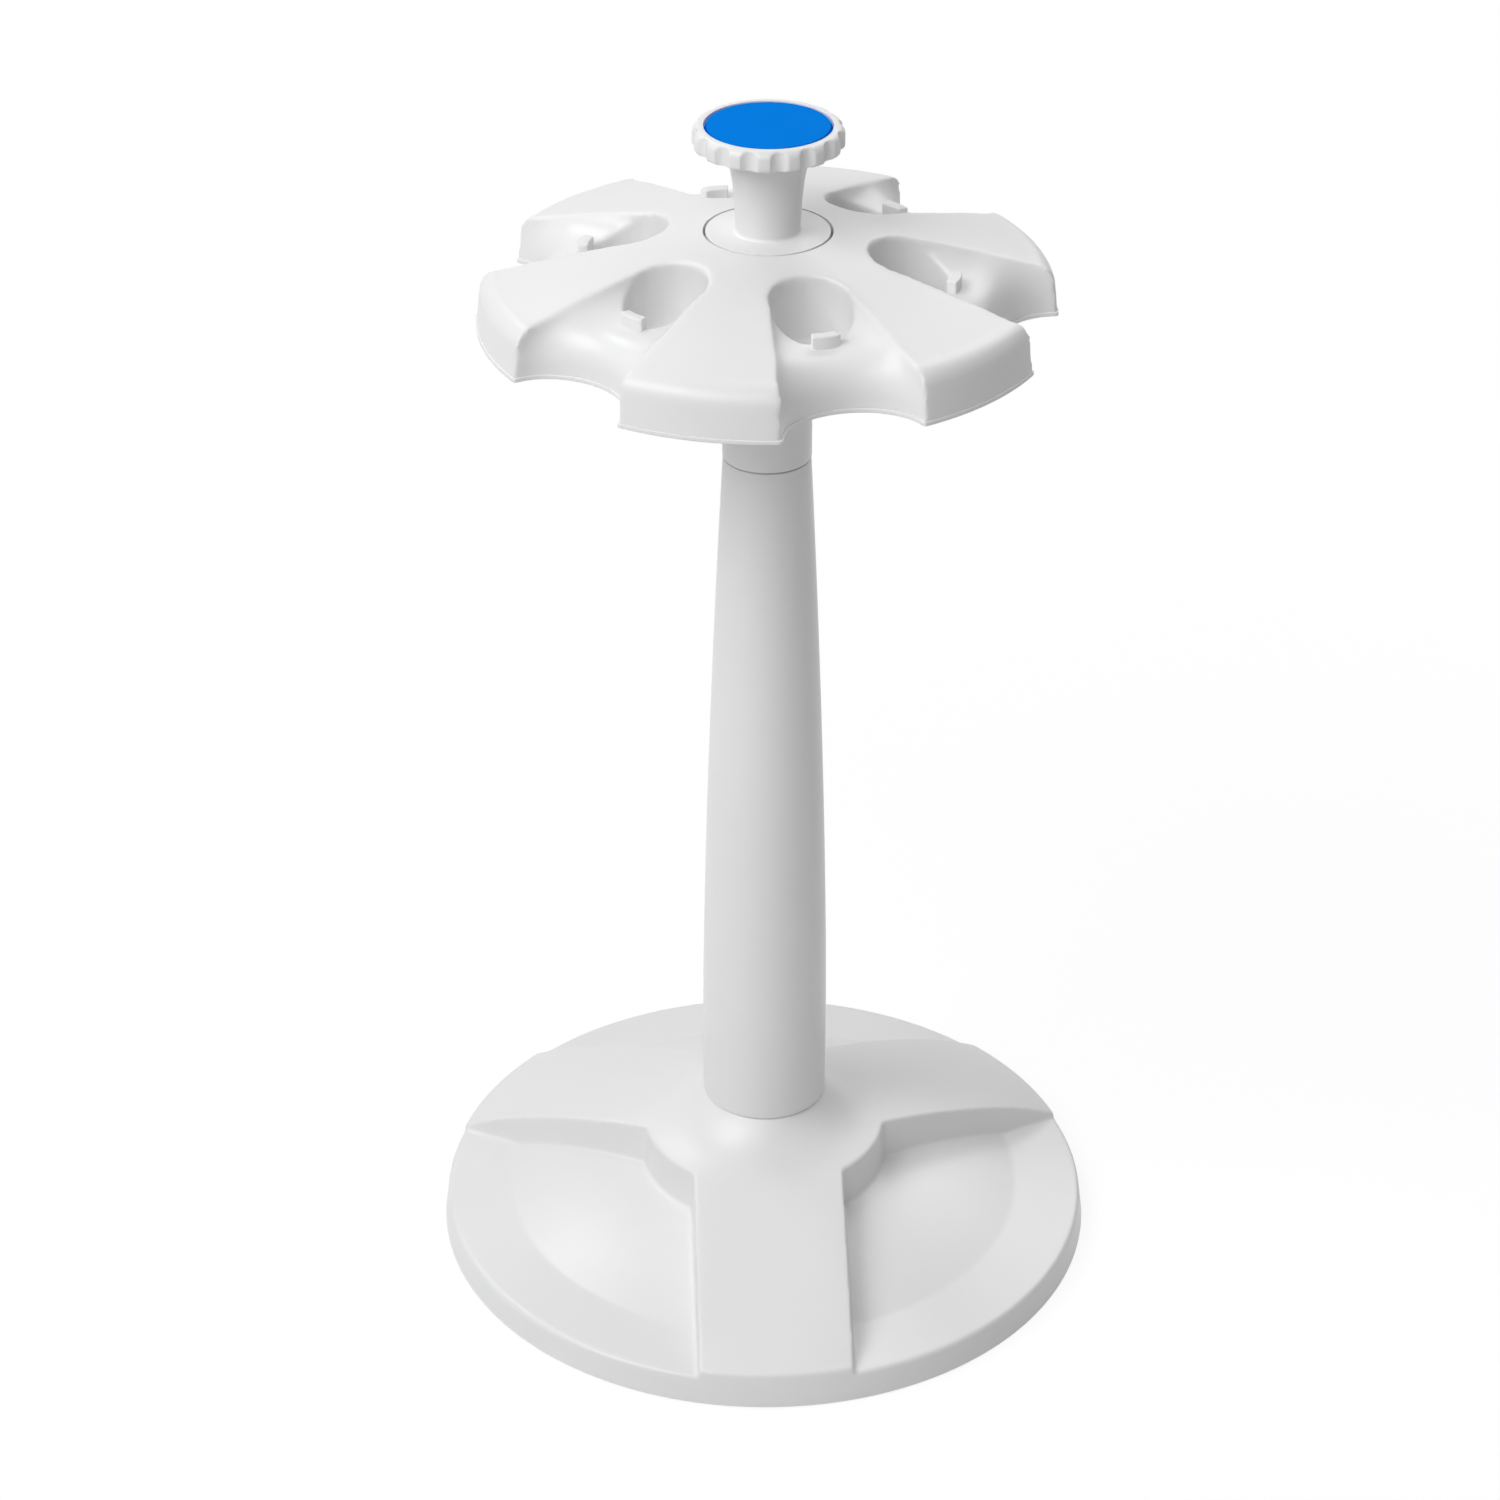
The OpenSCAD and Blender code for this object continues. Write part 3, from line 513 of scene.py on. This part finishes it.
def makeColumn():
    c = column
    outer, inner = [], []
    bendLow = c["foot"] + c["straight"]
    span = c["top"] - c["foot"] - c["straight"]
    for i in range(c["steps"] + 1):
        t = i / c["steps"]
        r = c["footR"] - (c["footR"] - c["topR"]) * t ** c["bend"]
        outer.append(Vector((r, bendLow + span * t)))
        inner.append(Vector((r - c["wall"], bendLow + span * t)))
    foot = arcLine((c["footR"] - c["footRound"], c["foot"] + c["footRound"]), c["footRound"], -90, 0, 10)
    small, large = c["topEdge"]
    outer[-1].y -= large
    edge = pointLine((c["topR"] - small, c["top"] - small), (c["topR"] - large, c["top"]))
    line = foot + outer + edge + inner[::-1] + pointLine((c["footR"] - c["wall"], c["foot"]))
    piece = asObject("columnTube", spun(line, turnSteps["tube"], ring=True))
    mounted(piece, "stand", "white_abs", "column")


collar = {"radius": 11.9, "low": 247.4, "high": 288.1, "bore": 6.8, "flange": (19.0, 290.5)}


def makeCollar():
    c = collar
    flangeR, flangeTop = c["flange"]
    line = softLine([(c["bore"], c["low"], 0.3), (c["radius"], c["low"], 0.35), (c["radius"], c["high"], 0.2),
                     (flangeR, c["high"], 0.2), (flangeR, flangeTop, 0.3), (c["bore"], flangeTop, 0.2)],
                    steps=4, ring=True)
    piece = asObject("collarSleeve", spun(line, turnSteps["tube"], ring=True))
    mounted(piece, "carousel", "white_abs", "collar")


makeColumn()
makeCollar()


handle = {
    "disc": (16.15, 308.4, 311.3), "stem": 8.4, "flare": (12.0, 22.0, 0.12), "knobLow": 334.6, "top": 340.0,
    "bore": 5.7, "boreTop": 321.4, "screwHole": 2.1, "knob": 19.5, "knobRound": 2.2, "chamfer": 0.6,
    "chamferSoft": (0.15, 0.55, 0.2), "footBand": (3, 0.5, 6), "wallSteps": 5,
    "flutes": 16, "fluteR": 2.5, "fluteDeep": 1.3, "fluteTurn": -82.0, "fluteSteps": 20,
    "fluteBand": 4, "lipSoft": 0.3, "lipLift": 0.2,
    "cap": 16.4, "capT": 1.2, "capRoom": 0.12, "capStep": (0.6, 1.0, 0.1),
    "washerRoom": 4.9, "washerFloor": 336.2,
}


def makeHandleStem():
    h = handle
    discR, discLow, discTop = h["disc"]
    flareR, flareH, late = h["flare"]
    flareLow = h["knobLow"] - flareH
    flareMiddle = (h["stem"] + (flareR - h["stem"]) * late, h["knobLow"] - flareH * late * 2)
    flare = curveLine((h["stem"], flareLow), flareMiddle, (flareR, h["knobLow"]), 20)
    low = softLine([(h["bore"], discLow, 0), (discR, discLow, 0.3), (discR, discTop, 0.2),
                    (h["stem"], discTop, 0.9), (h["stem"], flareLow, 0)])
    inside = pointLine((h["screwHole"], h["knobLow"]), (h["screwHole"], h["boreTop"]),
                       (h["bore"], h["boreTop"]))
    piece = asObject("handleStem", spun(low + flare[1:] + inside, turnSteps["tube"], ring=True))
    mounted(piece, "handle", "white_abs", "handle_stem")


# the knob's outline, with enough points on its rim for the flutes to bend
def knobLine():
    h = handle
    low, top, radius = h["knobLow"], h["top"], h["knob"]
    band, apart, count = h["footBand"]
    softIn, softShare, softUp = h["chamferSoft"]
    footR, wallLow = radius - h["chamfer"], low + h["chamfer"] + softUp
    wallHigh = top - h["knobRound"]
    capRoom, capFloor = h["cap"] + h["capRoom"], top - h["capT"]
    line = [Vector((h["screwHole"], low))]
    line += [Vector((footR - band + i * apart, low)) for i in range(count)]
    line += pointLine((footR, low), (radius - softIn, low + h["chamfer"] * softShare), (radius, wallLow))
    for i in range(1, h["wallSteps"]):
        line.append(Vector((radius, wallLow + (wallHigh - wallLow) * i / h["wallSteps"])))
    line += arcLine((radius - h["knobRound"], wallHigh), h["knobRound"], 0, 90, 12)
    line += softLine([(radius - h["knobRound"] - 0.05, top, 0), (capRoom, top, 0.22), (capRoom, capFloor, 0),
                      (h["washerRoom"], capFloor, 0), (h["washerRoom"], h["washerFloor"], 0),
                      (h["screwHole"], h["washerFloor"], 0)], steps=4, hold=0.05)
    return line


# the rim is drawn in to a row of upright grooves with softened lips
def makeHandleKnob():
    h = handle
    form = spun(knobLine(), h["flutes"] * h["fluteSteps"], ring=True)
    pitch = 360 / h["flutes"]
    grooveR = h["knob"] - h["fluteDeep"] + h["fluteR"]
    soft = h["lipSoft"]
    for v in form.verts:
        x, y = v.co.x / mm, v.co.y / mm
        r = math.hypot(x, y)
        a = math.degrees(math.atan2(y, x)) - h["fluteTurn"]
        a = math.radians((a + pitch / 2) % pitch - pitch / 2)
        across = grooveR * math.sin(a)
        if r < h["knob"] - h["fluteBand"] or abs(across) >= h["fluteR"]:
            continue
        wall = grooveR * math.cos(a) - math.sqrt(h["fluteR"] ** 2 - across ** 2)
        gap = (r - wall) / soft
        drawn = r - soft * (math.log1p(math.exp(-abs(gap))) + max(gap, 0))
        drawn = min(r, drawn + soft * math.exp(-abs(gap)) * h["lipLift"])
        v.co.x *= drawn / r
        v.co.y *= drawn / r
    mounted(asObject("handleKnob", form), "handle", "white_abs", "handle_knob")


def makeKnobCap():
    h = handle
    low, (inset, deep, crown) = h["top"] - h["capT"], h["capStep"]
    edge, top = h["cap"] - inset, h["top"] - crown
    line = softLine([(0, low, 0), (h["cap"], low, 0.1), (h["cap"], top - deep, 0.04), (edge, top - deep, 0.04),
                     (edge, top, 0.12), (0, h["top"], 0)], steps=4, hold=0.01)
    mounted(asObject("knobCap", spun(line, turnSteps["tube"])), "handle", "blue_abs", "knob_cap")


makeHandleStem()
makeHandleKnob()
makeKnobCap()


feet = {"ring": 82.8, "radius": 6.0, "high": 1.3, "turn": -87.6, "count": 6, "round": 0.5}


def makeFeet():
    f = feet
    line = softLine([(0, 0.0, 0), (f["radius"] - 0.1, 0.0, f["round"]), (f["radius"], f["high"], 0.12),
                     (0, f["high"], 0)])
    forms = []
    for k in range(f["count"]):
        forms.append(placed(spun(line, turnSteps["foot"]), f["turn"] + 360 / f["count"] * k, (f["ring"], 0, 0)))
    mounted(asObject("rubberFeet", gathered(forms)), "stand", "foot_rubber", "rubber_feet")


# lay: how the cross of each screw happened to stop, and how far each next one differs
screws = {
    "shank": 1.5, "head": 2.8, "headHigh": 1.4, "cross": (0.55, 3.0, 1.0),
    "base": {"low": 0.5, "long": 11.2, "ring": 48, "turn": -87.6, "count": 3, "lay": (17, 41)},
    "plate": {"low": 285.6, "long": 8.1, "ring": 60, "offset": 30, "lay": (0, 29)},
}


def crossScrew(row, turn, lay):
    s = screws
    low, neck = row["low"], row["low"] + s["headHigh"]
    line = softLine([(0, low, 0), (s["head"], low, 0.55), (s["head"], neck, 0.15), (s["shank"], neck, 0),
                     (s["shank"], neck + row["long"], 0.4), (0, neck + row["long"], 0)], steps=5)
    piece = asObject("screw", spun(line, turnSteps["screw"]))
    wide, long, deep = s["cross"]
    for k in (0, 90):
        slot = bmesh.new()
        bmesh.ops.create_cube(slot, size=1, matrix=Matrix.Translation((0, 0, low * mm)) @ Matrix.Rotation(
            math.radians(lay + k), 4, "Z") @ Matrix.Diagonal((long * mm, wide * mm, 2 * deep * mm, 1)))
        carved(piece, slot)
    form = asForm(piece)
    bpy.data.objects.remove(piece)
    return placed(form, turn, (row["ring"], 0, 0))


def makeScrews():
    base, plate = screws["base"], screws["plate"]
    baseTurns = [base["turn"] + 360 / base["count"] * k for k in range(base["count"])]
    for name, body, node, row, turns in (
            ("basePlateScrews", "stand", "base_plate_screws", base, baseTurns),
            ("carouselScrews", "carousel", "carousel_screws", plate, placeAngles(plate["offset"]))):
        first, more = row["lay"]
        forms = [crossScrew(row, turn, first + more * k) for k, turn in enumerate(turns)]
        mounted(asObject(name, gathered(forms)), body, "zinc_screw", node)


makeFeet()
makeScrews()


grainValues = {"Grain Scale": 1800.0, "Wave Scale": 90.0, "Wave Share": 0.25, "Patch Scale": 22.0}


# fine mould grain: an even fine relief with slow waves, and patches for colour and gloss
def makeGrainGroup():
    group = bpy.data.node_groups.new("mouldGrain", "ShaderNodeTree")
    for name, value in grainValues.items():
        made = group.interface.new_socket(name=name, in_out="INPUT", socket_type="NodeSocketFloat")
        made.default_value = value
    for name in ("Height", "Patch"):
        group.interface.new_socket(name=name, in_out="OUTPUT", socket_type="NodeSocketFloat")
    tree = group.nodes
    inputs, outputs = tree.new("NodeGroupInput"), tree.new("NodeGroupOutput")
    place = tree.new("ShaderNodeTexCoord")
    noises = []
    for socket, detail in (("Grain Scale", 2.0), ("Wave Scale", 1.0), ("Patch Scale", 3.0)):
        noise = tree.new("ShaderNodeTexNoise")
        noise.inputs["Detail"].default_value = detail
        group.links.new(place.outputs["Object"], noise.inputs["Vector"])
        group.links.new(inputs.outputs[socket], noise.inputs["Scale"])
        noises.append(noise)
    grain, wave, patch = noises
    waves = tree.new("ShaderNodeMath")
    waves.operation = "MULTIPLY"
    group.links.new(wave.outputs["Fac"], waves.inputs[0])
    group.links.new(inputs.outputs["Wave Share"], waves.inputs[1])
    height = tree.new("ShaderNodeMath")
    height.operation = "ADD"
    group.links.new(grain.outputs["Fac"], height.inputs[0])
    group.links.new(waves.outputs[0], height.inputs[1])
    group.links.new(height.outputs[0], outputs.inputs["Height"])
    group.links.new(patch.outputs["Fac"], outputs.inputs["Patch"])
    return group


grainGroup = makeGrainGroup()


patchRange = (0.3, 0.7)


# low and high: the colours of the patches; rough: their roughness; relief: bump strength and depth in mm
# grain: the group's values where they aren't the usual ones; bend: the index of refraction
def makeFinish(name, low, high, rough, relief, metallic=0.0, grain=tuple(grainValues.values()),
               specular=0.5, bend=1.5):
    material = bpy.data.materials.new(name)
    material.use_nodes = True
    tree = material.node_tree
    shader = tree.nodes["Principled BSDF"]
    shader.inputs["Metallic"].default_value = metallic
    shader.inputs["Specular IOR Level"].default_value = specular
    shader.inputs["IOR"].default_value = bend
    group = tree.nodes.new("ShaderNodeGroup")
    group.node_tree = grainGroup
    for socket, value in zip(grainValues, grain):
        group.inputs[socket].default_value = value
    colour = tree.nodes.new("ShaderNodeMix")
    colour.data_type = "RGBA"
    colour.inputs[6].default_value = (*low, 1)
    colour.inputs[7].default_value = (*high, 1)
    tree.links.new(group.outputs["Patch"], colour.inputs["Factor"])
    tree.links.new(colour.outputs[2], shader.inputs["Base Color"])
    sheen = tree.nodes.new("ShaderNodeMapRange")
    for socket, value in zip(("From Min", "From Max", "To Min", "To Max"), (*patchRange, *rough)):
        sheen.inputs[socket].default_value = value
    tree.links.new(group.outputs["Patch"], sheen.inputs["Value"])
    tree.links.new(sheen.outputs["Result"], shader.inputs["Roughness"])
    bump = tree.nodes.new("ShaderNodeBump")
    bump.inputs["Strength"].default_value = relief[0]
    bump.inputs["Distance"].default_value = relief[1] * mm
    tree.links.new(group.outputs["Height"], bump.inputs["Height"])
    tree.links.new(bump.outputs["Normal"], shader.inputs["Normal"])
    return material


finishes = {
    "white_abs": makeFinish("whiteAbs", (0.80, 0.80, 0.805), (0.84, 0.84, 0.845),
                            (0.30, 0.40), (0.25, 0.02)),
    "grey_plate": makeFinish("greyPlate", (0.70, 0.70, 0.71), (0.76, 0.76, 0.77),
                             (0.45, 0.55), (0.3, 0.04)),
    "plug_plastic": makeFinish("plugPlastic", (0.70, 0.70, 0.69), (0.76, 0.76, 0.75),
                               (0.45, 0.55), (0.3, 0.04)),
    "blue_abs": makeFinish("blueAbs", (0.0, 0.20, 0.76), (0.0, 0.22, 0.81), (0.45, 0.55), (0.2, 0.015),
                           specular=0.05, bend=1.12),
    "foot_rubber": makeFinish("footRubber", (0.035, 0.035, 0.037), (0.06, 0.06, 0.06), (0.75, 0.9), (0.5, 0.08),
                              grain=(900, 200, 0.6, 90)),
    "cast_ballast": makeFinish("castBallast", (0.09, 0.09, 0.10), (0.14, 0.14, 0.15), (0.6, 0.8), (0.8, 0.25),
                               grain=(420, 120, 0.7, 40), metallic=0.2),
    "steel": makeFinish("groundSteel", (0.50, 0.51, 0.52), (0.60, 0.61, 0.62), (0.22, 0.34), (0.2, 0.02),
                        metallic=1.0),
    "zinc_screw": makeFinish("zincScrew", (0.58, 0.58, 0.56), (0.68, 0.68, 0.64), (0.28, 0.42), (0.3, 0.03),
                             metallic=1.0, grain=(2400, 300, 0.4, 160)),
    "brass_insert": makeFinish("brassInsert", (0.66, 0.47, 0.20), (0.76, 0.57, 0.28), (0.26, 0.38), (0.3, 0.03),
                               metallic=1.0),
    "acetal": makeFinish("acetal", (0.82, 0.80, 0.74), (0.87, 0.86, 0.81), (0.3, 0.42), (0.2, 0.02)),
}

slotOf = {row["node"]: row["material_slot"] for row in frame["record"]["subparts"]}
for piece, slotName in [(node, slotOf[name]) for name, node in nodes.items()] + dressed:
    piece.data.materials.clear()
    piece.data.materials.append(finishes[slotName])
print("finishes done:", len(finishes))


# a lamp: azimuth from the front towards the left, elevation, distance, power, size
stage = {
    "floorSize": 8.0, "floorDrop": 0.1, "floorTint": 0.8, "floorGlow": 0.872, "floorShare": 0.16,
    "fade": (0.22, 0.6), "world": 0.17, "aim": (0, 0, 0.18),
    "lamps": {
        "key": (60, 45, 1.8, 15.0, 1.2), "front": (20, 45, 1.8, 8.4, 1.2), "fill": (-60, 68, 1.8, 1.6, 1.2),
        "right": (-150, 40, 1.8, 6.2, 1.2), "back": (140, 48, 1.8, 4.8, 0.6),
    },
}


# one for the rays that see the backdrop: camera, glossy and transmission rays
def seenRays(tree):
    path = tree.nodes.new("ShaderNodeLightPath")
    total = path.outputs["Is Camera Ray"]
    for name in ("Is Glossy Ray", "Is Transmission Ray"):
        either = tree.nodes.new("ShaderNodeMath")
        either.operation = "MAXIMUM"
        tree.links.new(total, either.inputs[0])
        tree.links.new(path.outputs[name], either.inputs[1])
        total = either.outputs[0]
    return total


# pale in the light; to the rays that see it, near white with the shadow, fading to white further out
def makeFloor():
    form = bmesh.new()
    bmesh.ops.create_grid(form, x_segments=1, y_segments=1, size=stage["floorSize"] / 2)
    bmesh.ops.translate(form, verts=form.verts, vec=(0, 0, -stage["floorDrop"] * mm))
    floor = asObject("floor", form)
    material = bpy.data.materials.new("paleFloor")
    material.use_nodes = True
    tree = material.node_tree
    tree.nodes.clear()
    out = tree.nodes.new("ShaderNodeOutputMaterial")
    plain = tree.nodes.new("ShaderNodeBsdfDiffuse")
    plain.inputs["Color"].default_value = (stage["floorTint"],) * 3 + (1,)
    shade = tree.nodes.new("ShaderNodeBsdfDiffuse")
    shade.inputs["Color"].default_value = (stage["floorShare"],) * 3 + (1,)
    glow = tree.nodes.new("ShaderNodeEmission")
    glow.inputs["Strength"].default_value = stage["floorGlow"]
    both = tree.nodes.new("ShaderNodeAddShader")
    place = tree.nodes.new("ShaderNodeTexCoord")
    reach = tree.nodes.new("ShaderNodeVectorMath")
    reach.operation = "LENGTH"
    fade = tree.nodes.new("ShaderNodeMapRange")
    fade.interpolation_type = "SMOOTHSTEP"
    fade.inputs["From Min"].default_value, fade.inputs["From Max"].default_value = stage["fade"]
    white = tree.nodes.new("ShaderNodeEmission")
    away = tree.nodes.new("ShaderNodeMixShader")
    pick = tree.nodes.new("ShaderNodeMixShader")
    for source, target in (
            (shade.outputs[0], both.inputs[0]), (glow.outputs[0], both.inputs[1]),
            (place.outputs["Object"], reach.inputs[0]), (reach.outputs["Value"], fade.inputs["Value"]),
            (fade.outputs["Result"], away.inputs[0]), (both.outputs[0], away.inputs[1]),
            (white.outputs[0], away.inputs[2]), (seenRays(tree), pick.inputs[0]),
            (plain.outputs[0], pick.inputs[1]), (away.outputs[0], pick.inputs[2]),
            (pick.outputs[0], out.inputs["Surface"])):
        tree.links.new(source, target)
    floor.data.materials.append(material)


def makeWorld():
    world = bpy.data.worlds.new("studio")
    bpy.context.scene.world = world
    world.use_nodes = True
    tree = world.node_tree
    tree.nodes.clear()
    out = tree.nodes.new("ShaderNodeOutputWorld")
    pick = tree.nodes.new("ShaderNodeMixShader")
    tree.links.new(seenRays(tree), pick.inputs[0])
    for socket, strength in ((1, stage["world"]), (2, 1.0)):
        sky = tree.nodes.new("ShaderNodeBackground")
        sky.inputs["Color"].default_value = (1, 1, 1, 1)
        sky.inputs["Strength"].default_value = strength
        tree.links.new(sky.outputs[0], pick.inputs[socket])
    tree.links.new(pick.outputs[0], out.inputs["Surface"])


def makeLamp(name, azimuth, elevation, distance, power, size):
    lamp = bpy.data.objects.new(name, bpy.data.lights.new(name, "AREA"))
    lamp.data.shape = "DISK"
    lamp.data.size = size
    lamp.data.energy = power
    a, e = math.radians(azimuth), math.radians(elevation)
    way = Vector((-math.sin(a) * math.cos(e), -math.cos(a) * math.cos(e), math.sin(e)))
    lamp.location = Vector(stage["aim"]) + way * distance
    lamp.rotation_euler = way.to_track_quat("Z", "Y").to_euler()
    bpy.context.scene.collection.objects.link(lamp)


makeFloor()
makeWorld()
for lampName, lampSetting in stage["lamps"].items():
    makeLamp(lampName, *lampSetting)
bpy.context.scene.view_settings.view_transform = "Standard"
print("floor and light done")
